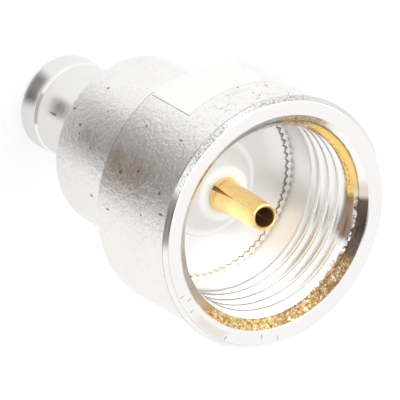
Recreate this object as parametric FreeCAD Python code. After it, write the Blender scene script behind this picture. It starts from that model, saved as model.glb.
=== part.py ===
import FreeCAD, Part
import math
import os

# Coaxial adapter with a large threaded socket end and a slim push-on end.
# Lengths are in millimetres and angles in degrees.
# It stands on its tail: z = 0 is the tail's end face, and +Z runs along the axis to the mouth.

# Lengths along the axis, measured back from the mouth face unless they say otherwise
total_length = 14.0
shell_length = 5.09
rim_width = 0.27
entry_depth = 0.54
floor_depth = 4.33
flat_front_depth = 2.1
contact_tip_depth = 0.69
boss_top_depth = 3.31

# Coupling shell: the turned and tapped nut-like end
shell_r = 4.75
rim_proud = 0.125
rim_chamfer = 0.17
shell_rear_chamfer = 0.44
shell_rear_chamfer_length = 0.51
thread_wall = 1.15
entry_flare = 0.58

# Coupling thread: right hand, of 60-degree form, and it ends before the knurled seat
thread_pitch = 0.6
thread_flank_angle = 30.0
thread_end_depth = 2.826
thread_end_angle = 37.0
thread_depth_share = 5 / 8
thread_root_share = 1 / 8
thread_cutter_inset = 0.05

# Wrench flats: two, milled from the rear by an end mill that stops at the far corner,
# 8.7 across the two
flat_cut_depth = 0.4
mill_r = 1.3
mill_overrun = 0.05

# Knurled press fit between the shell's seat and the body's flange
knurl_teeth = 76
knurl_depth = 0.13
knurl_land = 0.03
knurl_seam = 0.07
flange_thickness = 0.4
flange_step = 0.02
shell_bore_clearance = 0.02

# Rear body: knurled flange, plain barrel, neck and push-on lip, turned in one piece
barrel_edge_round = 0.15
neck_length = 3.51
neck_r = 1.78
lip_length = 1.03
lip_r = 1.85
lip_edge_chamfer = 0.07
push_bore_r = 1.5
push_bore_depth = 3.3
rear_seat_r = 1.7
rear_seat_height = 4.9
front_seat_r = 1.95
front_seat_height = 6.2

# Insulators
insulator_clearance = 0.01
front_rim_proud = 0.14
boss_foot_r = 1.72
boss_top_r = 1.03
boss_edge_round = 0.3

# Centre contact: slotted socket at the mouth, solid pin at the tail, stepped shank between them
contact_clearance = 0.01
pin_r = 0.25
pin_recess = 0.4
pin_tip_chamfer = 0.1
rear_shank_r = 0.45
front_shank_r = 0.6
collar_r = 0.68
collar_thickness = 0.2
collar_chamfer = 0.09
socket_r = 0.6
socket_bore_r = 0.45
socket_bore_depth = 3.25
slot_width = 0.17
slot_gap_at_tip = 0.02
slot_start = 0.03
slot_angle = 45.0
finger_tip_chamfer = 0.05

# Heights worked out from the lengths above
mouth = total_length
shell_rear = mouth - shell_length
floor = mouth - floor_depth
flange_rear = floor - flange_thickness
barrel_rear = lip_length + neck_length
boss_top = mouth - boss_top_depth
contact_tip = mouth - contact_tip_depth
collar_front = boss_top + collar_thickness

# Radii worked out from the shell's outside inwards, as each piece sits in the one round it
rim_r = shell_r + rim_proud
thread_minor_r = shell_r - thread_wall
entry_r = thread_minor_r + entry_flare
seat_tip_r = thread_minor_r - knurl_land
flange_tip_r = seat_tip_r - knurl_seam
barrel_r = flange_tip_r - knurl_depth - flange_step

# How far a cutting shape runs past the surface that it cuts
overcut = 1.0

origin = FreeCAD.Vector(0, 0, 0)
up = FreeCAD.Vector(0, 0, 1)


def rounded_corner(before, corner, after, radius):
    """Return the start, middle and end of the arc that rounds a corner between two neighbours."""
    to_before = (before - corner).normalize()
    to_after = (after - corner).normalize()
    half_angle = to_before.getAngle(to_after) / 2
    reach = radius / math.tan(half_angle)
    bisector = (to_before + to_after).normalize()
    middle = corner + bisector * (radius / math.sin(half_angle) - radius)
    return corner + to_before * reach, middle, corner + to_after * reach


def turned(corners):
    """Turn a closed outline of (radius, height) corners about the axis.

    A third number in a corner rounds it to that radius.
    """
    places = [FreeCAD.Vector(corner[0], 0, corner[1]) for corner in corners]
    stretches = []
    for index, corner in enumerate(corners):
        place = places[index]
        if len(corner) == 2:
            stretches.append((place, None, place))
            continue
        before = places[index - 1]
        after = places[(index + 1) % len(places)]
        stretches.append(rounded_corner(before, place, after, corner[2]))
    edges = []
    for index, (start, middle, end) in enumerate(stretches):
        if middle is not None:
            edges.append(Part.Arc(start, middle, end).toShape())
        next_start = stretches[(index + 1) % len(stretches)][0]
        edges.append(Part.LineSegment(end, next_start).toShape())
    return Part.Face(Part.Wire(edges)).revolve(origin, up, 360)


def knurl(tip_r, bottom, height):
    """Straight knurl as a star-shaped prism of V teeth, with its tips at tip_r."""
    root_r = tip_r - knurl_depth
    corners = []
    for step in range(2 * knurl_teeth):
        radius = tip_r if step % 2 == 0 else root_r
        angle = math.pi * step / knurl_teeth
        corners.append(FreeCAD.Vector(radius * math.cos(angle), radius * math.sin(angle), bottom))
    corners.append(corners[0])
    return Part.Face(Part.makePolygon(corners)).extrude(up * height)


def thread_cutter():
    """The helical groove of the coupling thread, from its deep end out through the mouth."""
    slope = math.tan(math.radians(thread_flank_angle))
    sharp_height = thread_pitch / (2 * slope)
    major_r = thread_minor_r + thread_depth_share * sharp_height
    inner_r = thread_minor_r - thread_cutter_inset
    root_half = thread_root_share * thread_pitch / 2
    inner_half = root_half + (major_r - inner_r) * slope
    end = up * (mouth - thread_end_depth)
    turns = math.ceil(thread_end_depth / thread_pitch) + 1
    edges = []
    for turn in range(turns):
        loop = Part.makeHelix(thread_pitch, thread_pitch, major_r)
        loop.translate(end + up * (thread_pitch * turn))
        edges += loop.Edges
    outline = Part.makePolygon([
        end + FreeCAD.Vector(inner_r, 0, -inner_half),
        end + FreeCAD.Vector(major_r, 0, -root_half),
        end + FreeCAD.Vector(major_r, 0, root_half),
        end + FreeCAD.Vector(inner_r, 0, inner_half),
        end + FreeCAD.Vector(inner_r, 0, -inner_half),
    ])
    sweep = Part.BRepOffsetAPI.MakePipeShell(Part.Wire(edges))
    sweep.setFrenetMode(True)
    sweep.add(outline)
    sweep.build()
    sweep.makeSolid()
    cutter = sweep.shape()
    cutter.rotate(origin, up, thread_end_angle)
    return cutter


def flat_cutter():
    """What the end mill removes on the -X side, seen as an outline in Y and Z."""
    inner = flat_cut_depth - shell_r
    chord_half = math.sqrt(shell_r ** 2 - inner ** 2)
    near = -shell_r - overcut
    far = chord_half + mill_overrun
    low = shell_rear - overcut
    high = mouth - flat_front_depth
    outline = [
        FreeCAD.Vector(inner, near, low),
        FreeCAD.Vector(inner, far, low),
        FreeCAD.Vector(inner, far, high),
        FreeCAD.Vector(inner, near, high),
    ]
    start, middle, end = rounded_corner(outline[1], outline[2], outline[3], mill_r)
    edges = [
        Part.LineSegment(outline[0], outline[1]).toShape(),
        Part.LineSegment(outline[1], start).toShape(),
        Part.Arc(start, middle, end).toShape(),
        Part.LineSegment(end, outline[3]).toShape(),
        Part.LineSegment(outline[3], outline[0]).toShape(),
    ]
    return Part.Face(Part.Wire(edges)).extrude(FreeCAD.Vector(-rim_r, 0, 0))


def coupling_shell():
    """Shell with its rim, its threaded bore and the grooved seat of the press fit."""
    shell = turned([
        (barrel_r + shell_bore_clearance, shell_rear),
        (shell_r - shell_rear_chamfer, shell_rear),
        (shell_r, shell_rear + shell_rear_chamfer_length),
        (shell_r, mouth - rim_width),
        (rim_r, mouth - rim_width),
        (rim_r, mouth - rim_chamfer),
        (rim_r - rim_chamfer, mouth),
        (entry_r, mouth),
        (thread_minor_r, mouth - entry_depth),
        (thread_minor_r, floor),
        (barrel_r + shell_bore_clearance, floor),
    ])
    shell = shell.cut(knurl(seat_tip_r, flange_rear, flange_thickness + overcut).common(
        Part.makeCylinder(thread_minor_r, flange_thickness, origin + up * flange_rear)))
    shell = shell.cut(thread_cutter())
    cutter = flat_cutter()
    shell = shell.cut(cutter)
    cutter.rotate(origin, up, 180)
    return shell.cut(cutter)


def rear_body():
    """Body with its knurled flange, barrel, neck and lip, and the stepped bore for the insulators."""
    barrel = turned([
        (push_bore_r, 0),
        (lip_r - lip_edge_chamfer, 0),
        (lip_r, lip_edge_chamfer),
        (lip_r, lip_length - (lip_r - neck_r)),
        (neck_r, lip_length),
        (neck_r, barrel_rear),
        (barrel_r, barrel_rear, barrel_edge_round),
        (barrel_r, floor),
        (front_seat_r, floor),
        (front_seat_r, front_seat_height),
        (rear_seat_r, front_seat_height),
        (rear_seat_r, rear_seat_height),
        (push_bore_r, rear_seat_height),
    ])
    flange = knurl(flange_tip_r, flange_rear, flange_thickness)
    flange = flange.cut(Part.makeCylinder(front_seat_r, mouth))
    return barrel.fuse(flange).removeSplitter()


def front_insulator():
    """Insulator at the mouth, with a soft conical boss that carries the contact's collar."""
    outer_r = front_seat_r - insulator_clearance
    bore_r = front_shank_r + contact_clearance
    rim = floor + front_rim_proud
    return turned([
        (bore_r, front_seat_height),
        (outer_r, front_seat_height),
        (outer_r, rim),
        (boss_foot_r, rim),
        (boss_top_r, boss_top, boss_edge_round),
        (bore_r, boss_top),
    ])


def rear_insulator():
    """Stepped insulator in the tail, whose nose is the floor of the push-on end's bore."""
    nose_r = push_bore_r - insulator_clearance
    seat_r = rear_seat_r - insulator_clearance
    bore_r = rear_shank_r + contact_clearance
    return turned([
        (bore_r, push_bore_depth),
        (nose_r, push_bore_depth),
        (nose_r, rear_seat_height),
        (seat_r, rear_seat_height),
        (seat_r, front_seat_height),
        (bore_r, front_seat_height),
    ])


def finger():
    """One half of the socket, from the collar to the tip, leaning in so that the slot closes."""
    gap_half = slot_width / 2
    outer_start = math.sqrt(socket_r ** 2 - gap_half ** 2)
    inner_start = math.sqrt(socket_bore_r ** 2 - gap_half ** 2)
    outer_left = FreeCAD.Vector(-outer_start, gap_half, collar_front)
    outer_right = FreeCAD.Vector(outer_start, gap_half, collar_front)
    inner_left = FreeCAD.Vector(-inner_start, gap_half, collar_front)
    inner_right = FreeCAD.Vector(inner_start, gap_half, collar_front)
    outer_top = FreeCAD.Vector(0, socket_r, collar_front)
    inner_top = FreeCAD.Vector(0, socket_bore_r, collar_front)
    section = Part.Face(Part.Wire([
        Part.Arc(outer_left, outer_top, outer_right).toShape(),
        Part.LineSegment(outer_right, inner_right).toShape(),
        Part.Arc(inner_right, inner_top, inner_left).toShape(),
        Part.LineSegment(inner_left, outer_left).toShape(),
    ]))
    lean = (slot_width - slot_gap_at_tip) / 2
    half = section.extrude(FreeCAD.Vector(0, -lean, contact_tip - collar_front))
    tip_edges = [edge for edge in half.Edges if edge.BoundBox.ZMin > contact_tip - finger_tip_chamfer]
    return half.makeChamfer(finger_tip_chamfer, tip_edges)


def centre_contact():
    """Contact in one turned piece: pin, shank, collar and the two sprung fingers of the socket."""
    stem = turned([
        (0, pin_recess),
        (pin_r - pin_tip_chamfer, pin_recess),
        (pin_r, pin_recess + pin_tip_chamfer),
        (pin_r, push_bore_depth),
        (rear_shank_r, push_bore_depth),
        (rear_shank_r, front_seat_height),
        (front_shank_r, front_seat_height),
        (front_shank_r, boss_top),
        (collar_r, boss_top),
        (collar_r, collar_front - collar_chamfer),
        (collar_r - collar_chamfer, collar_front),
        (socket_bore_r, collar_front),
        (socket_bore_r, contact_tip - socket_bore_depth),
        (0, contact_tip - socket_bore_depth),
    ])
    slot_bottom = boss_top + slot_start
    slot_corner = FreeCAD.Vector(-rim_r, -slot_width / 2, slot_bottom)
    slot = Part.makeBox(2 * rim_r, slot_width, mouth - slot_bottom, slot_corner)
    near_finger = finger()
    far_finger = finger()
    far_finger.rotate(origin, up, 180)
    contact = stem.cut(slot).fuse([near_finger, far_finger]).removeSplitter()
    contact.rotate(origin, up, slot_angle)
    return contact


pieces = {
    "coupling_shell": coupling_shell,
    "rear_body": rear_body,
    "front_insulator": front_insulator,
    "rear_insulator": rear_insulator,
    "centre_contact": centre_contact,
}

os.makedirs("parts", exist_ok=True)
for name, make_piece in pieces.items():
    make_piece().exportStep(os.path.join("parts", name + ".step"))
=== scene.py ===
import bpy
import bmesh
import math
import numpy as np
from mathutils import Matrix, Vector


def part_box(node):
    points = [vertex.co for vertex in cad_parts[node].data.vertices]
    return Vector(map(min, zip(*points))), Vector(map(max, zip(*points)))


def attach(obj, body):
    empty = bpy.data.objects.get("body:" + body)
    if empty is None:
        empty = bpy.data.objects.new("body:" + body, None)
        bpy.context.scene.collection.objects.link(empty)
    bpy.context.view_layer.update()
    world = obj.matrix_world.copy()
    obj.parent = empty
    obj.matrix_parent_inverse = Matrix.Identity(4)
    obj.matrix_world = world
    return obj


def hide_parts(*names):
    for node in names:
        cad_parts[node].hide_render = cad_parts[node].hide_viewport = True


# The adapter's dressed model: the five CAD pieces again as smooth meshes, with finish and fine rounding.
# Lengths are in millimetres until a mesh is made, and heights are measured from the tail's end face.

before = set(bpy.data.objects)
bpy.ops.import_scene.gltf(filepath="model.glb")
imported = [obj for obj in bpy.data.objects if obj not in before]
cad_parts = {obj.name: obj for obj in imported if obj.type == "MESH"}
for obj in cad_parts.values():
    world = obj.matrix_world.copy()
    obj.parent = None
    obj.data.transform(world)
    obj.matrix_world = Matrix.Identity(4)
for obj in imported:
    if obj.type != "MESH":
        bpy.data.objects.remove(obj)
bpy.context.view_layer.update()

MM = 0.001
weld = 0.00002 * MM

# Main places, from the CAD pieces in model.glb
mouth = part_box("coupling_shell")[1].z / MM
shell_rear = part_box("coupling_shell")[0].z / MM
rim_r = min(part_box("coupling_shell")[1].x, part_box("coupling_shell")[1].y) / MM
floor_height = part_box("rear_body")[1].z / MM
nose_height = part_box("rear_insulator")[0].z / MM
insulator_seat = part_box("front_insulator")[0].z / MM
boss_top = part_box("front_insulator")[1].z / MM
pin_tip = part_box("centre_contact")[0].z / MM
contact_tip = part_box("centre_contact")[1].z / MM

# Coupling shell
rim_width = 0.27
rim_chamfer = 0.17
shell_r = 4.75
rear_chamfer = 0.44
rear_chamfer_length = 0.51
entry_r = 4.18
entry_depth = 0.54
shell_bore_r = 3.37
flat_r = 4.35
flat_front = mouth - 2.1
mill_r = 1.3
mill_overrun = 0.05

# Coupling thread, right hand, of 60-degree form
thread_minor_r = 3.6
thread_pitch = 0.6
thread_major_r = thread_minor_r + thread_pitch * math.sqrt(3) / 2 * 5 / 8
thread_turns = 9
rows_per_turn = 16
thread_phase = 5 / 16
crest_share = 0.25
root_share = 0.125
thread_fade_start = 2.7
thread_fade_end = 3.05

# Knurled press fit
knurl_teeth = 76
columns_per_tooth = 8
columns = knurl_teeth * columns_per_tooth
knurl_depth = 0.13
seat_tip_r = 3.57
flange_tip_r = 3.53
flange_rear = floor_height - 0.4

# Rear body
lip_r = 1.85
lip_length = 1.03
neck_r = 1.78
neck_length = 3.51
barrel_r = 3.35
push_bore_r = 1.5
rear_seat_r = 1.7
rear_seat_height = 4.9
front_seat_r = 1.95

# Insulators and contact
insulator_clearance = 0.01
insulator_rim = floor_height + 0.14
boss_foot_r = 1.72
boss_top_r = 1.03
pin_r = 0.25
rear_shank_r = 0.45
front_shank_r = 0.6
collar_r = 0.67
collar_thickness = 0.2
socket_r = 0.6
socket_bore_r = 0.45
socket_bore_bottom = contact_tip - 3.25
slot_width = 0.17
slot_gap_at_tip = 0.004
slot_closed_at = 0.5
slot_taper = 1.5
slot_start = 0.03
slot_angle = math.radians(45)
finger_tip_round = 0.055
collar_chamfer = 0.09
collar_fillet = 0.14

# The photograph's view: direction to the camera, slope of the axis in the picture, and the mouth's pixel
view_elevation = math.radians(49.6)
view_azimuth = math.radians(-133.5)
axis_slope = math.radians(29.8)
mouth_pixel = (275.6, 223.7)
picture_size = 400
camera_lens = 1500.0
camera_sensor = 36.0
camera_distance = 0.6068

# Studio, in metres, and how white the floor is in its own light and as it is seen
lamp_distance = 0.25
floor_half = 1.5
lit_white = 0.86
seen_white = 0.42
camera_glow = 0.62
mirrored_glow = 0.455

# Surface marks
nick_depth = 0.006


# Small tools for node trees

class Board:
    """Adds nodes to one tree and joins each to what it takes."""

    def __init__(self, tree):
        self.tree = tree

    def plug(self, socket, value):
        if isinstance(value, bpy.types.NodeSocket):
            self.tree.links.new(value, socket)
        elif value is not None:
            socket.default_value = value

    def add(self, kind, takes=None, gives=0, **settings):
        node = self.tree.nodes.new(kind)
        for name, value in settings.items():
            setattr(node, name, value)
        for place, value in (takes or {}).items():
            self.plug(node.inputs[place], value)
        return node.outputs[gives]

    def math(self, operation, *values):
        return self.add("ShaderNodeMath", dict(enumerate(values)), operation=operation)

    def vector(self, operation, *values, gives=0):
        return self.add("ShaderNodeVectorMath", dict(enumerate(values)), gives, operation=operation)

    def ramp(self, value, low, high, start=0.0, end=1.0, kind="SMOOTHSTEP"):
        """Carry value from low..high to start..end, held at both ends."""
        takes = {0: value, 1: low, 2: high, 3: start, 4: end}
        return self.add("ShaderNodeMapRange", takes, interpolation_type=kind)

    def product(self, *values):
        result = values[0]
        for value in values[1:]:
            result = self.math("MULTIPLY", result, value)
        return result

    def sum(self, *values):
        result = values[0]
        for value in values[1:]:
            result = self.math("ADD", result, value)
        return result

    def largest(self, *values):
        result = values[0]
        for value in values[1:]:
            result = self.math("MAXIMUM", result, value)
        return result

    def between(self, value, low, high, soft):
        """1 inside low..high, falling to 0 over soft on both sides."""
        return self.product(self.ramp(value, low - soft, low), self.ramp(value, high + soft, high))

    def tint(self, share, under, over):
        """Mix two colours by share."""
        return self.add("ShaderNodeMix", {0: share, 6: under, 7: over}, 2, data_type="RGBA")


def emptied(owner):
    """Board on the emptied node tree of a material or world."""
    owner.use_nodes = True
    owner.node_tree.nodes.clear()
    return Board(owner.node_tree)


def put_in_scene(name, data):
    """New object with this data, linked to the scene."""
    made = bpy.data.objects.new(name, data)
    bpy.context.scene.collection.objects.link(made)
    return made


# Meshes made of rings of points about the axis

angles = np.arange(columns) * 2 * math.pi / columns


def ring(radius, height, turn=angles):
    """One ring of points. Radius and height are numbers, or one number for each column."""
    return np.stack([radius * np.cos(turn), radius * np.sin(turn), height + np.zeros(len(turn))], axis=1)


def rounded(corners, steps=4):
    """Outline through (radius, height, rounding) corners, with an arc of a few steps in each rounded one."""
    outline = []
    for place, corner in enumerate(corners):
        here = Vector(corner[:2])
        rounding = corner[2] if len(corner) > 2 else 0
        if not rounding:
            outline.append(tuple(here))
            continue
        back = (Vector(corners[place - 1][:2]) - here).normalized()
        ahead = (Vector(corners[(place + 1) % len(corners)][:2]) - here).normalized()
        half = back.angle(ahead) / 2
        reach = rounding / math.tan(half)
        centre = here + (back + ahead).normalized() * rounding / math.sin(half)
        first = here + back * reach - centre
        last = here + ahead * reach - centre
        for step in range(steps + 1):
            spoke = first.lerp(last, step / steps).normalized() * rounding
            outline.append(tuple(centre + spoke))
    return outline


def spread(start, end, count):
    """Values that divide start..end into equal parts, without the two ends."""
    return [start + (end - start) * step / count for step in range(1, count)]


def mesh_from_rings(name, rings, joined=False):
    """Mesh of quads between neighbouring rings, in metres. A joined one also closes from last to first."""
    across = len(rings[0])
    points = np.concatenate(rings) * MM
    faces = []
    count = len(rings) if joined else len(rings) - 1
    for row in range(count):
        low = row * across
        high = (row + 1) % len(rings) * across
        for column in range(across):
            beside = (column + 1) % across
            faces.append((low + column, low + beside, high + beside, high + column))
    mesh = bpy.data.meshes.new(name)
    mesh.from_pydata(points.tolist(), [], faces)
    return mesh


def closed_piece(name, meshes, material, sharp_angle=35):
    """Join meshes into one closed piece with its faces outwards, shaded smooth between sharp edges."""
    shape = bmesh.new()
    for mesh in meshes:
        shape.from_mesh(mesh)
    bmesh.ops.remove_doubles(shape, verts=shape.verts, dist=weld)
    bmesh.ops.dissolve_degenerate(shape, edges=shape.edges, dist=weld)
    bmesh.ops.recalc_face_normals(shape, faces=shape.faces)
    open_edges = sum(1 for edge in shape.edges if len(edge.link_faces) != 2)
    made = bpy.data.meshes.new(name)
    shape.to_mesh(made)
    print(name, "open edges", open_edges, "faces", len(shape.faces), "volume", shape.calc_volume(signed=True))
    shape.free()
    for polygon in made.polygons:
        polygon.use_smooth = True
    made.set_sharp_from_angle(angle=math.radians(sharp_angle))
    made.materials.clear()
    made.materials.append(material)
    return put_in_scene(name, made)


# Geometry Nodes trees

def new_tree(name, sizes):
    """Empty geometry tree with named inputs, in metres, and one output."""
    tree = bpy.data.node_groups.new(name, "GeometryNodeTree")
    for size, kind in sizes.items():
        tree.interface.new_socket(size, in_out="INPUT", socket_type=kind)
    tree.interface.new_socket("Geometry", in_out="OUTPUT", socket_type="NodeSocketGeometry")
    board = Board(tree)
    given = tree.nodes.new("NodeGroupInput")
    return board, {name: given.outputs[name] for name in sizes}


def unit_sheet(board, across, rows):
    """Flat sheet of points with u and v from 0 to 1 along its sides."""
    takes = {"Size X": 1.0, "Size Y": 1.0, "Vertices X": across, "Vertices Y": rows}
    sheet = board.add("GeometryNodeMeshGrid", takes)
    place = board.add("GeometryNodeInputPosition")
    parts = board.tree.nodes.new("ShaderNodeSeparateXYZ")
    board.plug(parts.inputs[0], place)
    u = board.math("ADD", parts.outputs[0], 0.5)
    v = board.math("ADD", parts.outputs[1], 0.5)
    return sheet, u, v


def bend_round(board, sheet, u, radius, height, material):
    """Bend the sheet round the axis to its radius and height, close its seam and finish the tree."""
    turn = board.math("MULTIPLY", u, 2 * math.pi)
    x = board.product(radius, board.math("COSINE", turn))
    y = board.product(radius, board.math("SINE", turn))
    place = board.add("ShaderNodeCombineXYZ", {0: x, 1: y, 2: height})
    moved = board.add("GeometryNodeSetPosition", {"Geometry": sheet, "Position": place})
    merged = board.add("GeometryNodeMergeByDistance", {"Geometry": moved, "Distance": weld})
    real = board.add("GeometryNodeRealizeInstances", {"Geometry": merged})
    painted = board.add("GeometryNodeSetMaterial", {"Geometry": real, "Material": material})
    out = board.tree.nodes.new("NodeGroupOutput")
    board.plug(out.inputs[0], painted)


def thread_tree(material):
    """Bore with an internal right-hand thread, a conical entry at the top and a plain band at the bottom."""
    board, given = new_tree("threaded_bore", {
        "Columns": "NodeSocketInt",
        "Rows": "NodeSocketInt",
        "Span": "NodeSocketFloat",
        "Pitch": "NodeSocketFloat",
        "Minor radius": "NodeSocketFloat",
        "Major radius": "NodeSocketFloat",
        "Entry radius": "NodeSocketFloat",
        "Entry depth": "NodeSocketFloat",
        "Fade start": "NodeSocketFloat",
        "Fade end": "NodeSocketFloat",
        "Top": "NodeSocketFloat",
        "Bottom": "NodeSocketFloat",
    })
    sheet, u, v = unit_sheet(board, given["Columns"], given["Rows"])
    along = board.product(v, given["Span"])
    raw_depth = board.math("SUBTRACT", along, board.product(u, given["Pitch"]))
    length = board.math("SUBTRACT", given["Top"], given["Bottom"])
    depth = board.math("MINIMUM", board.math("MAXIMUM", raw_depth, 0.0), length)
    turns = board.math("DIVIDE", along, given["Pitch"])
    shifted = board.math("FRACT", board.math("ADD", turns, 0.5 - thread_phase + 1))
    from_crest = board.product(board.math("ABSOLUTE", board.math("SUBTRACT", shifted, 0.5)), 2.0)
    share = board.ramp(from_crest, crest_share - 0.17, 1 - root_share + 0.11)
    fade = board.ramp(depth, given["Fade start"], given["Fade end"], 1.0, 0.0)
    groove = board.product(share, fade, board.math("SUBTRACT", given["Major radius"], given["Minor radius"]))
    threaded = board.math("ADD", given["Minor radius"], groove)
    cone = board.ramp(depth, 0.0, given["Entry depth"], given["Entry radius"], given["Minor radius"],
                      "LINEAR")
    radius = board.math("MAXIMUM", threaded, cone)
    height = board.math("SUBTRACT", given["Top"], depth)
    bend_round(board, sheet, u, radius, height, material)
    return board.tree


def knurl_tree(material):
    """Wall of straight V teeth about the axis, with a flat ring on each side of it."""
    board, given = new_tree("knurled_wall", {
        "Columns": "NodeSocketInt",
        "Teeth": "NodeSocketInt",
        "Tip radius": "NodeSocketFloat",
        "Tooth depth": "NodeSocketFloat",
        "Low ring radius": "NodeSocketFloat",
        "High ring radius": "NodeSocketFloat",
        "Low": "NodeSocketFloat",
        "High": "NodeSocketFloat",
    })
    sheet, u, v = unit_sheet(board, given["Columns"], 4)
    row = board.math("ROUND", board.product(v, 3.0))
    part = board.math("FRACT", board.product(u, given["Teeth"]))
    from_root = board.math("ABSOLUTE", board.math("SUBTRACT", board.product(part, 2.0), 1.0))
    cut = board.product(board.math("SUBTRACT", 1.0, from_root), given["Tooth depth"])
    tooth = board.math("SUBTRACT", given["Tip radius"], cut)
    after_first = board.math("GREATER_THAN", row, 0.5)
    last = board.math("GREATER_THAN", row, 2.5)
    upper = board.math("GREATER_THAN", row, 1.5)
    radius = board.add("ShaderNodeMix", {0: after_first, 2: given["Low ring radius"], 3: tooth})
    radius = board.add("ShaderNodeMix", {0: last, 2: radius, 3: given["High ring radius"]})
    height = board.add("ShaderNodeMix", {0: upper, 2: given["Low"], 3: given["High"]})
    bend_round(board, sheet, u, radius, height, material)
    return board.tree


def grow(tree, values):
    """Run a tree with these input values and return what it makes as a plain mesh."""
    holder = put_in_scene(tree.name, bpy.data.meshes.new(tree.name))
    modifier = holder.modifiers.new(tree.name, "NODES")
    modifier.node_group = tree
    for item in tree.interface.items_tree:
        if item.in_out == "INPUT":
            modifier[item.identifier] = values[item.name]
    graph = bpy.context.evaluated_depsgraph_get()
    mesh = bpy.data.meshes.new_from_object(holder.evaluated_get(graph))
    bpy.data.objects.remove(holder)
    return mesh


# Materials

def base_material(name):
    """Material with a Principled shader, and coordinates in millimetres on the object."""
    material = bpy.data.materials.new(name)
    material.use_nodes = True
    board = Board(material.node_tree)
    shader = material.node_tree.nodes["Principled BSDF"]
    place = board.add("ShaderNodeTexCoord", gives="Object")
    scaled = board.vector("MULTIPLY", place, (1 / MM, 1 / MM, 1 / MM))
    return material, board, shader, scaled


def apart(board, place):
    """The x, y and z of a place."""
    parts = board.tree.nodes.new("ShaderNodeSeparateXYZ")
    board.plug(parts.inputs[0], place)
    return parts.outputs


def polar(board, place):
    """Radius, height, and two angles in degrees: from the camera's side and from the side opposite to it."""
    x, y, z = apart(board, place)
    radius = board.math("SQRT", board.sum(board.product(x, x), board.product(y, y)))
    toward = board.sum(board.product(x, math.cos(view_azimuth)), board.product(y, math.sin(view_azimuth)))
    side = board.sum(board.product(x, -math.sin(view_azimuth)), board.product(y, math.cos(view_azimuth)))
    near = board.math("DEGREES", board.math("ARCTAN2", side, toward))
    back = board.math("ARCTAN2", board.product(side, -1.0), board.product(toward, -1.0))
    return radius, z, near, board.math("DEGREES", back)


def noise(board, place, scale, detail=3.0, rough=0.55, gives=0):
    """Noise pattern: gives 0 is its value, 1 its colour."""
    takes = {"Vector": place, "Scale": scale, "Detail": detail, "Roughness": rough}
    return board.add("ShaderNodeTexNoise", takes, gives)


def cell_edges(board, place, scale):
    """Distance to the nearest edge of a pattern of cells."""
    takes = {"Vector": place, "Scale": scale}
    return board.add("ShaderNodeTexVoronoi", takes, "Distance", feature="DISTANCE_TO_EDGE")


def spot(board, up, angle, radius, at, reach, rag):
    """Distance from at, (degrees, up), in half sizes, and the ragged spot there of half sizes reach."""
    around = board.product(board.math("SUBTRACT", angle, at[0]), radius, math.pi / 180)
    along = board.math("DIVIDE", around, reach[0])
    above = board.math("DIVIDE", board.math("SUBTRACT", up, at[1]), reach[1])
    away = board.math("SQRT", board.sum(board.product(along, along), board.product(above, above)))
    return away, board.ramp(board.sum(away, board.product(rag, 2.2)), 1.95, 1.65)


def soft_stain(board, place, up, angle, radius, at, reach, rag):
    """Soft stain with an uneven outline, placed like a spot."""
    away = spot(board, up, angle, radius, at, reach, rag)[0]
    cloud = noise(board, place, 1.6, 2.0)
    return board.ramp(board.sum(away, board.product(rag, 1.5), board.product(cloud, 1.8)), 2.9, 1.5)


def nick_marks(board, up, angle, radius, nicks, rag):
    """Share of all the nicks together."""
    marks = 0.0
    for at, reach in nicks:
        marks = board.math("MAXIMUM", marks, spot(board, up, angle, radius, at, reach, rag)[1])
    return marks


def tumbled_skin(board, place, where):
    """Heights in millimetres of a tumbled plated skin, and its dirt: waves all over, grain only where."""
    waves = board.product(noise(board, place, 1.2, 1.0), 0.008)
    peel = board.product(noise(board, place, 5.5, 3.0, 0.65), 0.029)
    grain = board.product(noise(board, place, 17.0, 2.0, 0.6), 0.007)
    specks = board.ramp(noise(board, place, 9.0, 3.0, 0.7), 0.52, 0.68)
    patchy = board.ramp(noise(board, place, 0.9, 2.0), 0.35, 0.6, 0.3, 1.0)
    rough_part = board.sum(peel, grain, board.product(specks, -0.004))
    return board.sum(waves, board.product(rough_part, where)), board.product(specks, patchy, where)


def finish_metal(board, shader, colour, roughness, skin):
    """Join a metal's colour, roughness and skin height in millimetres to its shader."""
    board.plug(shader.inputs["Base Color"], colour)
    shader.inputs["Metallic"].default_value = 1.0
    board.plug(shader.inputs["Roughness"], roughness)
    bump = board.add("ShaderNodeBump", {"Strength": 1.0, "Distance": MM, "Height": skin})
    board.plug(shader.inputs["Normal"], bump)


silver = (0.935, 0.928, 0.92, 1)
# Lighter silver for the bore and the floor: painted light that offsets the shade inside the bore
lightened_inner_silver = (0.985, 0.976, 0.966, 1)
# Warmer silver for one side of the outer walls: a painted warm reflection
warm_reflection_silver = (0.935, 0.912, 0.89, 1)
face_silver = (0.915, 0.9, 0.885, 1)
worn_brass = (0.9, 0.6, 0.2, 1)
golden = (0.96, 0.63, 0.17, 1)
tan = (0.62, 0.48, 0.33, 1)
brown = (0.24, 0.13, 0.055, 1)
mid_brown = (0.46, 0.28, 0.1, 1)
brown_black = (0.085, 0.05, 0.028, 1)
tarnish = (0.5, 0.42, 0.34, 1)
dull_grey = (0.42, 0.405, 0.39, 1)
# Dark grey for the painted reflection on the rim's chamfer
painted_reflection_grey = (0.2, 0.185, 0.175, 1)


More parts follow.
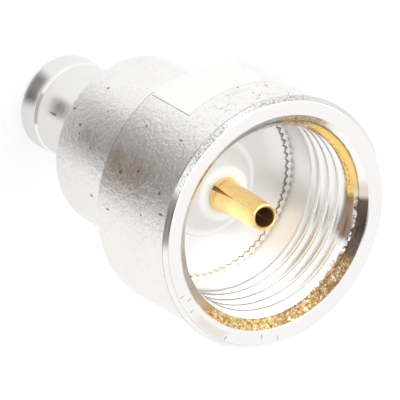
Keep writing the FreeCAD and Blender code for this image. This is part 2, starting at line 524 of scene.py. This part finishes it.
def entry_colour(board, colour, far, depth, radius, rag, grit):
    """Wear and dirt of the thread's conical entry and first turns, by the angle from the far side, and a
    painted dark reflection on its near side.
    """
    uneven = board.sum(depth, board.product(rag, 0.5), -0.25)
    entry = board.product(board.ramp(depth, 0.02, 0.05), board.ramp(uneven, 0.55, 0.5),
                          board.ramp(radius, entry_r + 0.02, entry_r))

    def zone(low, high, soft=4.0):
        return board.product(entry, board.between(far, low, high, soft))

    flakes = board.ramp(rag, 0.44, 0.54)
    specks = board.ramp(grit, 0.5, 0.6)
    patches = [
        (board.product(zone(43, 95), board.between(depth, 0.3, 0.62, 0.06)), golden, 0.9),
        (zone(36, 42, 8.0), tan, 0.55),
        (board.product(zone(3, 35), board.ramp(uneven, 0.46, 0.4), board.ramp(grit, 0.35, 0.6, 0.92, 1.0)),
         brown_black, 0.96),
        (board.product(zone(-52, 2), board.ramp(rag, 0.34, 0.46)), mid_brown, 0.95),
        (board.product(zone(-52, 2), board.ramp(rag, 0.5, 0.6)), brown, 0.8),
        (board.product(zone(-52, 2), board.ramp(grit, 0.52, 0.62)), brown_black, 0.7),
        (board.product(zone(-52, 2), board.ramp(grit, 0.42, 0.36)), golden, 0.6),
        (board.product(zone(-56, -50), specks), worn_brass, 0.6),
        (board.product(zone(-104, -55), board.ramp(rag, 0.34, 0.48)), worn_brass, 0.95),
        (board.product(zone(-104, -55), board.ramp(rag, 0.52, 0.62)), brown, 0.75),
        (board.product(zone(-104, -55), board.ramp(grit, 0.52, 0.62)), brown_black, 0.7),
        (zone(-128, -104, 9.0), tan, 0.7),
        (board.product(zone(95, 118, 6.0), flakes), golden, 0.95),
        (board.product(zone(95, 130, 6.0), specks), brown, 0.45),
    ]
    # Near side of the entry darkened with the tarnish colour: painted dark reflection
    near_side_shade = board.product(entry, board.ramp(board.math("ABSOLUTE", far), 126, 134))
    patches.append((near_side_shade, tarnish, 0.6))
    ridge = board.product(board.between(depth, 0.5, 1.02, 0.06),
                          board.ramp(radius, thread_major_r + 0.2, thread_major_r))
    gold_ridge = board.product(ridge, board.between(far, 36, 96, 6.0))
    patches.append((board.product(gold_ridge, board.ramp(uneven, 0.8, 0.7)), golden, 0.9))
    patches.append((board.product(gold_ridge, specks), brown, 0.5))
    patches.append((board.product(ridge, board.between(far, 14, 36, 5.0)), brown, 0.85))
    for share, over, most in patches:
        colour = board.tint(board.product(share, most), colour, over)
    return colour


def seam_colour(board, far):
    """Colour in the press fit's seam, dirt and painted shade of the deep gap: golden brown on one side, brown
    black on the other.
    """
    return board.tint(board.ramp(far, -12, 12), (0.5, 0.27, 0.08, 1), (0.13, 0.07, 0.03, 1))


def shell_material():
    """Silver plate of the shell: tumbled outside, smooth inside and painted lighter there against the bore's
    shade, worn and dirty at the thread's entry.
    """
    material, board, shader, place = base_material("silver_shell")
    radius, height, near, far = polar(board, place)
    across = board.math("ABSOLUTE", apart(board, place)[0])
    depth = board.math("SUBTRACT", mouth, height)
    rag = noise(board, place, 6.0, 4.0, 0.7)
    grit = noise(board, place, 13.0, 3.0, 0.65)
    wall = board.ramp(radius, shell_r - 0.05, shell_r - 0.01)
    side = board.product(wall, board.ramp(depth, 0.1, 0.3))
    skin, pits = tumbled_skin(board, place, side)

    inside = board.ramp(radius, entry_r, entry_r - 0.1)
    # Inside the bore the lighter silver: painted light against its shade
    colour = board.tint(inside, silver, lightened_inner_silver)
    # One side of the outer wall warmed: painted reflection
    colour = board.tint(board.product(side, board.ramp(near, 26, 50)), colour, warm_reflection_silver)
    colour = board.tint(board.product(pits, board.ramp(near, 24, 44, 0.3, 0.12)), colour, tarnish)
    for at, reach in shell_stains:
        share = soft_stain(board, place, height, near, radius, at, reach, rag)
        colour = board.tint(board.product(share, side, board.ramp(grit, 0.35, 0.6, 0.35, 0.8)), colour, tan)
    marks = board.product(nick_marks(board, height, near, radius, shell_nicks, grit), wall)

    # Hairlines near the rim on the upper side
    sway = board.vector("MULTIPLY", noise(board, place, 3.0, 3.0, gives=1), (0.5, 0.5, 0.5))
    swayed = board.vector("ADD", place, sway)
    hairs = board.product(board.ramp(cell_edges(board, swayed, 1.1), 0.016, 0.006), side,
                          board.ramp(rag, 0.46, 0.54), board.between(near, -78, -22, 8),
                          board.ramp(depth, 2.2, 1.5))
    colour = board.tint(board.product(hairs, 0.75), colour, brown)

    # Dark lines in the corners and along edges, painted shade with some dirt: the rim's step and edges, the
    # flat's edges and the rear chamfer
    face_r = rim_r - rim_chamfer
    rear_edge = shell_rear + rear_chamfer_length
    flat_wall = board.ramp(radius, shell_r - 0.014, shell_r - 0.004)
    lines = board.largest(
        board.product(board.between(depth, rim_width - 0.035, rim_width + 0.1, 0.01),
                      board.between(near, -112, 2, 9)),
        board.product(board.between(across, flat_r - 0.003, flat_r + 0.003, 0.004), flat_wall,
                      board.between(height, rear_edge, flat_front, 0.03), board.between(near, -40, 10, 6)),
        board.product(board.between(height, rear_edge - 0.014, rear_edge + 0.014, 0.01),
                      board.between(near, -23, 6, 4)),
        board.product(board.between(height, flat_front - 0.008, flat_front + 0.008, 0.008),
                      board.ramp(across, flat_r - 0.02, flat_r),
                      board.ramp(radius, shell_r - 0.015, shell_r - 0.006), 0.8),
        board.product(board.between(radius, face_r - 0.012, face_r + 0.012, 0.012),
                      board.ramp(depth, 0.06, 0.04), board.between(near, 36, 112, 12), 0.5),
        board.product(board.between(depth, rim_chamfer - 0.01, rim_chamfer + 0.014, 0.01),
                      board.ramp(radius, rim_r - 0.03, rim_r - 0.01), board.between(near, 36, 112, 12), 0.5),
    )
    broken = board.product(lines, board.ramp(rag, 0.4, 0.5, 0.45, 1.0))
    colour = board.tint(board.product(broken, 0.85), colour, brown_black)
    colour = board.tint(board.product(marks, 0.85), colour, brown)
    skin = board.sum(skin, board.product(marks, -nick_depth))

    # Rim: dull outer chamfer with grey scuffs and a painted dark reflection; a faint stain and fine ticks on
    # its face
    chamfer = board.product(board.ramp(radius, face_r, face_r + 0.03),
                            board.ramp(depth, rim_chamfer + 0.04, rim_chamfer))
    face = board.product(board.ramp(depth, 0.03, 0.01), board.ramp(radius, face_r + 0.03, face_r))
    colour = board.tint(board.product(face, 0.7), colour, face_silver)
    greys = [
        (board.product(board.between(near, -66, -8, 8), board.ramp(grit, 0.42, 0.58, 0.25, 1.0)),
         0.8, dull_grey),
        (board.between(near, -118, -72, 9), 0.3, dull_grey),
        # Smooth dark band on the chamfer: painted reflection
        (board.between(near, 14, 31, 7), 0.75, painted_reflection_grey),
        (board.product(board.between(near, -20, 10, 5), board.ramp(grit, 0.5, 0.6)), 0.6, dull_grey),
    ]
    for share, most, grey in greys:
        colour = board.tint(board.product(chamfer, share, most), colour, grey)
    stain = board.product(face, board.between(near, 80, 95, 6), board.between(radius, 4.4, 4.6, 0.12))
    colour = board.tint(board.product(stain, 0.3), colour, tan)
    for angle, middle in rim_ticks:
        tick = spot(board, radius, near, radius, (angle, middle), (0.035, 0.13), rag)[1]
        colour = board.tint(board.product(tick, face, 0.55), colour, brown)

    colour = entry_colour(board, colour, far, depth, radius, rag, grit)
    # Walls of the seam's gap darkened: dirt and painted shade
    seam = board.product(board.between(radius, shell_bore_r, seat_tip_r + 0.008, 0.004),
                         board.ramp(height, flange_rear - 0.02, flange_rear),
                         board.ramp(height, floor_height - 0.002, floor_height - 0.012))
    colour = board.tint(board.product(seam, 0.97), colour, seam_colour(board, far))
    plain_band = board.product(inside, board.ramp(depth, thread_fade_start, thread_fade_end))
    roughness = board.sum(board.product(grit, side, 0.1), board.product(seam, 0.4),
                          board.product(side, 0.14), board.product(inside, 0.06),
                          board.product(plain_band, 0.12), 0.17)
    finish_metal(board, shader, colour, roughness, skin)
    return material


def body_material():
    """Silver plate of the body: tumbled barrel, polished neck and lip, smooth floor painted lighter against
    the bore's shade, with dirt and painted shade at its edge.
    """
    material, board, shader, place = base_material("silver_body")
    radius, height, near, far = polar(board, place)
    rag = noise(board, place, 6.0, 4.0, 0.7)
    grit = noise(board, place, 13.0, 3.0, 0.65)
    barrel = board.product(board.ramp(radius, barrel_r - 0.08, barrel_r - 0.02),
                           board.ramp(height, flange_rear, flange_rear - 0.05))
    skin, pits = tumbled_skin(board, place, barrel)
    floor = board.ramp(height, floor_height - 0.02, floor_height - 0.005)
    # The floor takes the lighter silver: painted light against the shade in the bore
    colour = board.tint(floor, silver, lightened_inner_silver)
    colour = board.tint(board.product(pits, 0.28), colour, tarnish)
    # One side of the barrel warmed: painted reflection
    colour = board.tint(board.product(barrel, board.ramp(near, 34, 60)), colour, warm_reflection_silver)
    for at, reach in body_stains:
        share = soft_stain(board, place, height, near, radius, at, reach, rag)
        colour = board.tint(board.product(share, board.ramp(grit, 0.35, 0.6, 0.3, 0.7)), colour, tarnish)
    outer_wall = board.ramp(radius, neck_r - 0.04, neck_r - 0.01)
    marks = board.product(nick_marks(board, height, near, radius, body_nicks, grit), outer_wall)
    lip_edge = lip_length - (lip_r - neck_r)
    # Dark lines where the shell's rear face meets the barrel and at the lip's step: painted shade with some
    # dirt
    lines = board.largest(
        board.product(board.between(height, shell_rear - 0.015, shell_rear + 0.02, 0.02), 0.35),
        board.product(board.between(height, lip_edge - 0.02, lip_length, 0.015),
                      board.between(near, 6, 38, 6), 0.6),
    )
    lines = board.product(lines, outer_wall)
    colour = board.tint(board.product(lines, 0.85), colour, brown_black)
    colour = board.tint(board.product(marks, 0.85), colour, brown)
    skin = board.sum(skin, board.product(marks, -nick_depth))
    # Walls of the seam's gap darkened: dirt and painted shade
    seam = board.product(board.ramp(radius, barrel_r + 0.004, barrel_r + 0.012),
                         board.ramp(height, flange_rear - 0.01, flange_rear),
                         board.ramp(height, floor_height - 0.002, floor_height - 0.012))
    colour = board.tint(board.product(seam, 0.97), colour, seam_colour(board, far))

    # Floor along the teeth: broad and dark on one side, dirt and painted shade at the wall's foot; a broken
    # golden line on the other
    turn = board.product(board.sum(near, math.degrees(view_azimuth) + 720), knurl_teeth / 360)
    part = board.product(board.math("FRACT", turn), 2.0)
    from_root = board.math("ABSOLUTE", board.math("SUBTRACT", part, 1.0))
    cut = board.product(board.math("SUBTRACT", 1.0, from_root), knurl_depth)
    tooth = board.math("SUBTRACT", flange_tip_r, cut)
    from_ring = board.sum(board.product(radius, -1.0), flange_tip_r - 0.08)
    inward = board.math("MINIMUM", board.math("SUBTRACT", tooth, radius), from_ring)
    from_tooth = board.sum(inward, board.product(rag, 0.2), -0.1)
    broad = board.product(board.ramp(from_tooth, 0.06, 0.02), board.ramp(far, -12, 8),
                          board.ramp(far, 100, 80))
    thin = board.product(board.ramp(from_tooth, 0.025, 0.0), board.ramp(far, 8, -12))
    colour = board.tint(board.product(floor, broad, 0.65), colour, brown)
    colour = board.tint(board.product(floor, thin, 0.8), colour, worn_brass)
    roughness = board.sum(board.product(grit, barrel, 0.1), board.product(seam, 0.4),
                          board.product(floor, 0.1), board.product(barrel, 0.12), 0.19)
    finish_metal(board, shader, colour, roughness, skin)
    return material


def gold_material():
    """Polished gold plate with fine turning marks, with painted shade in the socket's bore and in its slot.
    """
    material, board, shader, place = base_material("gold_plate")
    radius, height = polar(board, place)[:2]
    slot_side = (-math.sin(slot_angle), math.cos(slot_angle), 0)
    from_slot = board.math("ABSOLUTE", board.vector("DOT_PRODUCT", place, slot_side, gives=1))
    grain = noise(board, place, 9.0, 3.0)
    colour = board.tint(board.ramp(grain, 0.35, 0.7), (1.0, 0.77, 0.36, 1), (0.97, 0.7, 0.27, 1))
    above_collar = board.ramp(height, boss_top - 0.02, boss_top)
    bore = board.product(board.ramp(radius, socket_bore_r + 0.012, socket_bore_r - 0.01), above_collar)
    normal = board.add("ShaderNodeNewGeometry", gives="Normal")
    facing = board.math("ABSOLUTE", board.vector("DOT_PRODUCT", normal, slot_side, gives=1))
    slot = board.product(board.ramp(from_slot, slot_width / 2 + 0.02, slot_width / 2 + 0.01),
                         board.ramp(facing, 0.8, 0.95), above_collar)
    # Bore and slot faces browned: painted shade of the deep socket
    colour = board.tint(board.product(board.math("MAXIMUM", bore, slot), 0.95), colour, (0.5, 0.3, 0.14, 1))
    turned = noise(board, board.vector("MULTIPLY", place, (1.0, 1.0, 12.0)), 2.2, 2.0)
    skin = board.sum(board.product(turned, 0.0012), board.product(grain, 0.0005))
    roughness = board.sum(board.ramp(grain, 0.3, 0.75, 0.16, 0.24, "LINEAR"), board.product(bore, 0.3))
    finish_metal(board, shader, colour, roughness, skin)
    return material


def insulator_material():
    """Waxy white fluoroplastic: mottled, soft sheen, a little light under its skin, and a brown outer edge on
    one side, painted shade of the gap at its rim.
    """
    material, board, shader, place = base_material("white_insulator")
    radius, height, near, far = polar(board, place)
    cloud = noise(board, place, 1.3, 3.0)
    colour = board.tint(board.ramp(cloud, 0.3, 0.7), (0.95, 0.935, 0.915, 1), (0.92, 0.9, 0.87, 1))
    # Brown outer edge on one side: painted shade of the gap beside the metal
    edge = board.product(board.ramp(radius, front_seat_r - 0.06, front_seat_r - 0.02),
                         board.between(far, -95, 20, 25))
    colour = board.tint(board.product(edge, 0.55), colour, (0.42, 0.3, 0.18, 1))
    board.plug(shader.inputs["Base Color"], colour)
    board.plug(shader.inputs["Roughness"], board.ramp(cloud, 0.3, 0.7, 0.36, 0.46, "LINEAR"))
    shader.inputs["Subsurface Weight"].default_value = 0.25
    shader.inputs["Subsurface Radius"].default_value = (0.0004, 0.0003, 0.00022)
    shader.inputs["Subsurface Scale"].default_value = 1.0
    grain = noise(board, place, 12.0, 3.0)
    bump = board.add("ShaderNodeBump", {"Strength": 0.5, "Distance": 0.002 * MM, "Height": grain})
    board.plug(shader.inputs["Normal"], bump)
    return material


# Marks where the photograph shows them: (degrees from the camera's side, height), (reach round the wall, up)
shell_nicks = [
    ((14, 12.9), (0.1, 0.12)),
    ((-9, 10.5), (0.07, 0.08)),
    ((-11, 12.55), (0.06, 0.14)),
    ((10, 11.35), (0.11, 0.14)),
    ((14, 10.4), (0.11, 0.17)),
    ((22, 13.3), (0.06, 0.17)),
    ((-62, 12.3), (0.06, 0.14)),
    ((33, 10.1), (0.05, 0.12)),
    ((27, 12.15), (0.06, 0.07)),
    ((-50, 11.95), (0.11, 0.05)),
]
shell_stains = [
    ((13, 10.8), (1.1, 2.1)),
]
rim_ticks = [(128, 4.52), (119, 4.4), (98, 4.58), (72, 4.5), (66, 4.36), (62, 4.55)]
body_nicks = [
    ((7, 5.55), (0.08, 0.09)),
    ((12, 5.7), (0.06, 0.06)),
    ((-22, 5.65), (0.07, 0.07)),
    ((0, 4.85), (0.09, 0.07)),
    ((47, 6.9), (0.09, 0.09)),
    ((17, 6.6), (0.06, 0.09)),
    ((18, 1.95), (0.06, 0.3)),
    ((-9, 6.55), (0.07, 0.05)),
]
body_stains = [
    ((6, 2.2), (0.35, 0.5)),
    ((12, 6.3), (0.45, 1.0)),
]


# Pieces

def flat_shape(turn):
    """Radius on a wrench flat, and the heights of its front wall's outer and inner edges, for each column."""
    chord_half = math.sqrt(shell_r ** 2 - flat_r ** 2)
    on_flat = np.abs(np.cos(turn)) * shell_r > flat_r + 0.0005
    side = np.where(np.cos(turn) < 0, 1.0, -1.0)
    flat_radius = np.where(on_flat, flat_r / np.maximum(np.abs(np.cos(turn)), 0.5), shell_r)
    corner = chord_half + mill_overrun - mill_r

    def front(across):
        into = np.clip(across - corner, 0, mill_r)
        return flat_front - (mill_r - np.sqrt(mill_r ** 2 - into ** 2))

    outer_edge = np.where(on_flat, front(shell_r * np.sin(turn) * side), flat_front)
    inner_edge = np.where(on_flat, front(flat_radius * np.sin(turn) * side), flat_front)
    corner_side = np.sin(turn) * side > 0
    end_drop = front(np.array([chord_half]))[0]
    near_corner = ~on_flat & corner_side & (np.abs(np.cos(turn)) * shell_r > flat_r - 0.02)
    outer_edge = np.where(near_corner, end_drop, outer_edge)
    inner_edge = np.where(near_corner, end_drop, inner_edge)
    return flat_radius, outer_edge, inner_edge


def make_coupling_shell(material, thread, knurl):
    """Threaded shell: turned outside with its rim, two milled flats, threaded bore and grooved seat."""
    rim = rounded([
        (entry_r, mouth),
        (rim_r - rim_chamfer, mouth, 0.05),
        (rim_r, mouth - rim_chamfer, 0.03),
        (rim_r, mouth - rim_width, 0.02),
        (shell_r, mouth - rim_width),
    ])
    rings = [ring(radius, height) for radius, height in rim]
    flat_radius, outer_edge, inner_edge = flat_shape(angles)
    for share in spread(0, 1, 4):
        rings.append(ring(shell_r, mouth - rim_width + (outer_edge - mouth + rim_width) * share))
    rings.append(ring(shell_r, outer_edge))
    rings.append(ring(flat_radius, inner_edge))
    chamfer_start = shell_rear + rear_chamfer_length
    cut_end = chamfer_start - (shell_r - flat_radius) / rear_chamfer * rear_chamfer_length
    for share in spread(0, 1, 6):
        rings.append(ring(flat_radius, inner_edge + (cut_end - inner_edge) * share))
    rings.append(ring(flat_radius, cut_end))
    rear = rounded([
        (shell_r, chamfer_start),
        (shell_r - rear_chamfer, shell_rear, 0.05),
        (shell_bore_r, shell_rear, 0.02),
        (shell_bore_r, flange_rear),
    ])
    rings += [ring(radius, height) for radius, height in rear[1:]]
    outside = mesh_from_rings("shell_outside", rings)
    bore = grow(thread, {
        "Columns": columns + 1,
        "Rows": thread_turns * rows_per_turn + 1,
        "Span": thread_turns * thread_pitch * MM,
        "Pitch": thread_pitch * MM,
        "Minor radius": thread_minor_r * MM,
        "Major radius": thread_major_r * MM,
        "Entry radius": entry_r * MM,
        "Entry depth": entry_depth * MM,
        "Fade start": thread_fade_start * MM,
        "Fade end": thread_fade_end * MM,
        "Top": mouth * MM,
        "Bottom": floor_height * MM,
    })
    seat = grow(knurl, {
        "Columns": columns + 1,
        "Teeth": knurl_teeth,
        "Tip radius": seat_tip_r * MM,
        "Tooth depth": knurl_depth * MM,
        "Low ring radius": shell_bore_r * MM,
        "High ring radius": thread_minor_r * MM,
        "Low": flange_rear * MM,
        "High": floor_height * MM,
    })
    return closed_piece("coupling_shell_dressed", [outside, bore, seat], material)


def make_rear_body(material, knurl):
    """Body turned in one piece: lip, neck, barrel, stepped bore, and the knurled flange that is the floor."""
    barrel_rear = lip_length + neck_length
    outline = rounded([
        (front_seat_r, floor_height),
        (front_seat_r, insulator_seat),
        (rear_seat_r, insulator_seat),
        (rear_seat_r, rear_seat_height),
        (push_bore_r, rear_seat_height),
        (push_bore_r, 0, 0.06),
        (lip_r, 0, 0.1),
        (lip_r, lip_length - (lip_r - neck_r), 0.03),
        (neck_r, lip_length, 0.03),
        (neck_r, barrel_rear, 0.12),
        (barrel_r, barrel_rear, 0.15),
        (barrel_r, flange_rear),
    ], 6)
    turned = mesh_from_rings("body_turned", [ring(radius, height) for radius, height in outline])
    flange = grow(knurl, {
        "Columns": columns + 1,
        "Teeth": knurl_teeth,
        "Tip radius": flange_tip_r * MM,
        "Tooth depth": knurl_depth * MM,
        "Low ring radius": barrel_r * MM,
        "High ring radius": front_seat_r * MM,
        "Low": flange_rear * MM,
        "High": floor_height * MM,
    })
    return closed_piece("rear_body_dressed", [turned, flange], material)


def make_lathed(name, outline, material, steps=6):
    """Closed piece turned from a whole outline that doesn't touch the axis."""
    rings = [ring(radius, height) for radius, height in rounded(outline, steps)]
    return closed_piece(name, [mesh_from_rings(name, rings, joined=True)], material)


def make_front_insulator(material):
    """Insulator at the mouth, with a soft raised boss round the contact."""
    outer_r = front_seat_r - insulator_clearance
    bore_r = front_shank_r + insulator_clearance
    outline = [
        (bore_r, insulator_seat),
        (outer_r, insulator_seat),
        (outer_r, insulator_rim, 0.05),
        (boss_foot_r, insulator_rim, 0.3),
        (boss_top_r, boss_top, 0.3),
        (bore_r, boss_top),
    ]
    return make_lathed("front_insulator_dressed", outline, material, 10)


def make_rear_insulator(material):
    """Stepped insulator in the tail, which shows only its nose."""
    bore_r = rear_shank_r + insulator_clearance
    nose_r = push_bore_r - insulator_clearance
    seat_r = rear_seat_r - insulator_clearance
    outline = [
        (bore_r, nose_height, 0.03),
        (nose_r, nose_height, 0.05),
        (nose_r, rear_seat_height),
        (seat_r, rear_seat_height),
        (seat_r, insulator_seat),
        (bore_r, insulator_seat),
    ]
    return make_lathed("rear_insulator_dressed", outline, material)


def half_section(outer_r, inner_r, gap, points=40):
    """Closed loop round one half of a slotted tube: the outer arc one way and the bore's arc back."""
    outer_start = math.asin(gap / outer_r)
    inner_start = math.asin(gap / inner_r)
    outer_turn = np.linspace(outer_start, math.pi - outer_start, points)
    inner_turn = np.linspace(math.pi - inner_start, inner_start, points)
    outer = np.stack([outer_r * np.cos(outer_turn), outer_r * np.sin(outer_turn)], axis=1)
    inner = np.stack([inner_r * np.cos(inner_turn), inner_r * np.sin(inner_turn)], axis=1)
    return np.concatenate([outer, inner])


def finger_mesh(name, turn):
    """One sprung finger with its half of the collar, leaning in so that the slot closes at the tip."""
    collar_front = boss_top + collar_thickness
    lean_most = (slot_width - slot_gap_at_tip) / 2
    stations = [
        (boss_top + slot_start - 0.01, collar_r, socket_bore_r),
        (collar_front - collar_chamfer, collar_r - 0.005, socket_bore_r),
        (collar_front - 0.04, collar_r - 0.02, socket_bore_r),
        (collar_front + 0.04, socket_r + 0.03, socket_bore_r),
        (collar_front + collar_fillet, socket_r + 0.006, socket_bore_r),
    ]
    for height in spread(collar_front + collar_fillet, contact_tip - finger_tip_round, 10):
        stations.append((height, socket_r, socket_bore_r))
    for step in range(7):
        swing = math.pi / 2 * step / 6
        inset = finger_tip_round * (1 - math.cos(swing))
        height = contact_tip - finger_tip_round + finger_tip_round * math.sin(swing)
        stations.append((height, socket_r - inset, socket_bore_r + inset))
    rings = []
    for height, outer_r, inner_r in stations:
        risen = max(0.0, (height - collar_front) / (contact_tip - collar_front))
        lean = lean_most * risen
        still_open = max(0.0, 1 - risen / slot_closed_at) ** slot_taper
        half_open = slot_gap_at_tip / 2 + lean_most * still_open
        section = half_section(outer_r, inner_r, half_open + lean)
        x = section[:, 0]
        y = section[:, 1] - lean
        points = np.stack([
            x * math.cos(turn) - y * math.sin(turn),
            x * math.sin(turn) + y * math.cos(turn),
            np.full(len(x), height),
        ], axis=1)
        rings.append(points)
    mesh = mesh_from_rings(name, rings)
    shape = bmesh.new()
    shape.from_mesh(mesh)
    shape.verts.ensure_lookup_table()
    across = len(rings[0])
    half = across // 2
    for first in (0, (len(rings) - 1) * across):
        for step in range(half - 1):
            corners = [first + step, first + step + 1, first + across - 2 - step, first + across - 1 - step]
            shape.faces.new([shape.verts[corner] for corner in corners])
    shape.to_mesh(mesh)
    shape.free()
    return mesh


def make_centre_contact(material):
    """Contact turned in one piece, with its collar and socket slotted into two fingers."""
    slot_bottom = boss_top + slot_start
    outline = rounded([
        (0.0, pin_tip),
        (pin_r, pin_tip, 0.12),
        (pin_r, nose_height),
        (rear_shank_r, nose_height),
        (rear_shank_r, insulator_seat),
        (front_shank_r, insulator_seat),
        (front_shank_r, boss_top),
        (collar_r, boss_top),
        (collar_r, slot_bottom),
        (socket_bore_r, slot_bottom),
        (socket_bore_r, socket_bore_bottom),
        (0.0, socket_bore_bottom),
    ], 6)
    turn = np.arange(96) * 2 * math.pi / 96
    stem = mesh_from_rings("contact_stem", [ring(radius, height, turn) for radius, height in outline])
    near = finger_mesh("finger_near", slot_angle)
    far = finger_mesh("finger_far", slot_angle + math.pi)
    return closed_piece("centre_contact_dressed", [stem, near, far], material)


# Studio

def make_floor():
    """Plain white floor. What the camera and the reflections see of it is white, and it keeps the shadow."""
    mesh = bpy.data.meshes.new("floor")
    half = floor_half
    corners = [(-half, -half, 0), (half, -half, 0), (half, half, 0), (-half, half, 0)]
    mesh.from_pydata(corners, [], [(0, 1, 2, 3)])
    floor = put_in_scene("floor", mesh)
    material = bpy.data.materials.new("floor_white")
    board = emptied(material)
    ray = board.tree.nodes.new("ShaderNodeLightPath")
    camera_ray = ray.outputs["Is Camera Ray"]
    mirrored = board.math("MAXIMUM", ray.outputs["Is Glossy Ray"], ray.outputs["Is Transmission Ray"])
    seen = board.math("MAXIMUM", camera_ray, mirrored)
    shade = board.tint(seen, (lit_white, lit_white, lit_white, 1), (seen_white, seen_white, seen_white, 1))
    white = board.add("ShaderNodeBsdfDiffuse", {"Color": shade})
    strength = board.sum(board.product(camera_ray, camera_glow), board.product(mirrored, mirrored_glow))
    glow = board.add("ShaderNodeEmission", {"Color": (1, 1, 1, 1), "Strength": strength})
    both = board.add("ShaderNodeAddShader", {0: white, 1: glow})
    out = board.tree.nodes.new("ShaderNodeOutputMaterial")
    board.plug(out.inputs["Surface"], both)
    mesh.materials.append(material)


def direction(elevation, azimuth):
    """Unit vector towards an elevation and an azimuth counted from the camera's side, in degrees."""
    rise = math.radians(elevation)
    turn = view_azimuth + math.radians(azimuth)
    return Vector((math.cos(rise) * math.cos(turn), math.cos(rise) * math.sin(turn), math.sin(rise)))


def make_world():
    """White room with one soft shadow high on one side, which the bore's walls reflect."""
    world = bpy.data.worlds.new("studio")
    bpy.context.scene.world = world
    board = emptied(world)
    way = board.add("ShaderNodeTexCoord", gives="Generated")
    level, rise, near = polar(board, way)[:3]
    tilt = board.math("DEGREES", board.math("ARCTAN2", rise, level))
    dark = board.product(board.between(near, 36, 50, 12), board.between(tilt, 42, 60, 9))
    ray = board.tree.nodes.new("ShaderNodeLightPath")
    hidden = board.math("SUBTRACT", 1.0, ray.outputs["Is Camera Ray"])
    colour = board.tint(board.product(dark, hidden), (1, 1, 1, 1), (0.2, 0.18, 0.16, 1))
    background = board.add("ShaderNodeBackground", {"Color": colour, "Strength": 1.0})
    out = board.tree.nodes.new("ShaderNodeOutputWorld")
    board.plug(out.inputs["Surface"], background)


def make_card():
    """Dark ring of card that lies on the floor, unseen by the camera, and shows only in reflections."""
    inner_r, outer_r = 1.9, 30.0
    level = 0.02 * MM
    steps = 96
    points = []
    for step in range(steps + 1):
        turn = view_azimuth - math.pi + 2 * math.pi * step / steps
        points.append((inner_r * MM * math.cos(turn), inner_r * MM * math.sin(turn), level))
        points.append((outer_r * MM * math.cos(turn), outer_r * MM * math.sin(turn), level))
    faces = [(2 * step, 2 * step + 1, 2 * step + 3, 2 * step + 2) for step in range(steps)]
    mesh = bpy.data.meshes.new("dark_card")
    mesh.from_pydata(points, [], faces)
    card = put_in_scene("dark_card", mesh)
    material = bpy.data.materials.new("card_dark")
    board = emptied(material)
    place = board.add("ShaderNodeTexCoord", gives="Object")
    scaled = board.vector("MULTIPLY", place, (1 / MM, 1 / MM, 1 / MM))
    radius, height, turned, back = polar(board, scaled)
    pale_side = board.product(board.ramp(turned, -29, -10), 0.84)
    dark_side = board.product(board.ramp(turned, 0, 18), 0.12)
    across = board.product(board.sum(pale_side, dark_side), board.ramp(turned, 46, 34))
    for_lip = board.product(board.between(radius, 2.05, 2.45, 0.3), board.ramp(turned, 34, 14))
    for_neck = board.product(board.between(radius, 3.5, 3.8, 0.45), board.between(turned, 8, 20, 20), 0.85)
    for_walls = board.ramp(radius, 6.2, 7.0)
    opposite = board.ramp(board.math("ABSOLUTE", back), 56, 12)
    behind = board.product(opposite, board.ramp(radius, 2.0, 2.6), 0.24)
    share = board.largest(board.product(across, for_lip), for_neck,
                          board.product(across, for_walls), behind)
    clear = board.add("ShaderNodeBsdfTransparent")
    dark = board.add("ShaderNodeEmission", {"Color": (0.15, 0.128, 0.112, 1), "Strength": 1.0})
    both = board.add("ShaderNodeMixShader", {0: share, 1: clear, 2: dark})
    out = board.tree.nodes.new("ShaderNodeOutputMaterial")
    board.plug(out.inputs["Surface"], both)
    mesh.materials.append(material)
    card.visible_camera = False
    card.visible_diffuse = False
    card.visible_shadow = False
    card.visible_transmission = False


def make_light(name, elevation, azimuth, size, power):
    """Soft square lamp aimed at the adapter's middle, its direction in degrees."""
    data = bpy.data.lights.new(name, "AREA")
    data.size = size
    data.energy = power
    lamp = put_in_scene(name, data)
    way = direction(elevation, azimuth)
    lamp.location = way * lamp_distance + Vector((0, 0, mouth * MM / 2))
    lamp.rotation_euler = way.to_track_quat("Z", "Y").to_euler()


def make_camera():
    """Camera at the photograph's angle, far off with a long lens, as no perspective shows there."""
    to_camera = direction(math.degrees(view_elevation), 0)
    level = Vector((-math.sin(view_azimuth), math.cos(view_azimuth), 0))
    axis_up = to_camera.cross(level)
    right = axis_up * math.cos(axis_slope) - level * math.sin(axis_slope)
    up = -axis_up * math.sin(axis_slope) - level * math.cos(axis_slope)
    pixel = camera_distance * camera_sensor / camera_lens / picture_size
    aside = (mouth_pixel[0] - picture_size / 2) * pixel
    above = (picture_size / 2 - mouth_pixel[1]) * pixel
    data = bpy.data.cameras.new("camera")
    data.lens = camera_lens
    data.sensor_width = camera_sensor
    data.clip_start = 0.01
    data.clip_end = 10.0
    camera = put_in_scene("camera", data)
    place = Vector((0, 0, mouth * MM)) + to_camera * camera_distance - right * aside - up * above
    turned = Matrix((right, up, to_camera)).transposed().to_4x4()
    camera.matrix_world = Matrix.Translation(place) @ turned
    bpy.context.scene.camera = camera


make_camera()
make_world()
make_floor()
make_card()
make_light("key", 52, -116, 0.2, 0.17)
make_light("fill", 50, -70, 0.16, 0.08)
make_light("above", 84, 180, 0.06, 0.15)

shell_silver = shell_material()
body_silver = body_material()
gold = gold_material()
insulator = insulator_material()
thread = thread_tree(shell_silver)
knurl = knurl_tree(shell_silver)

dressed = [
    (make_coupling_shell(shell_silver, thread, knurl), "coupling_shell", "silver_plate"),
    (make_rear_body(body_silver, knurl), "rear_body", "silver_plate"),
    (make_front_insulator(insulator), "front_insulator", "white_insulator"),
    (make_rear_insulator(insulator), "rear_insulator", "white_insulator"),
    (make_centre_contact(gold), "centre_contact", "gold_plate"),
]
for piece, node, slot in dressed:
    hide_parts(node)
    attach(piece, "root")

bpy.context.scene.view_settings.view_transform = "Standard"
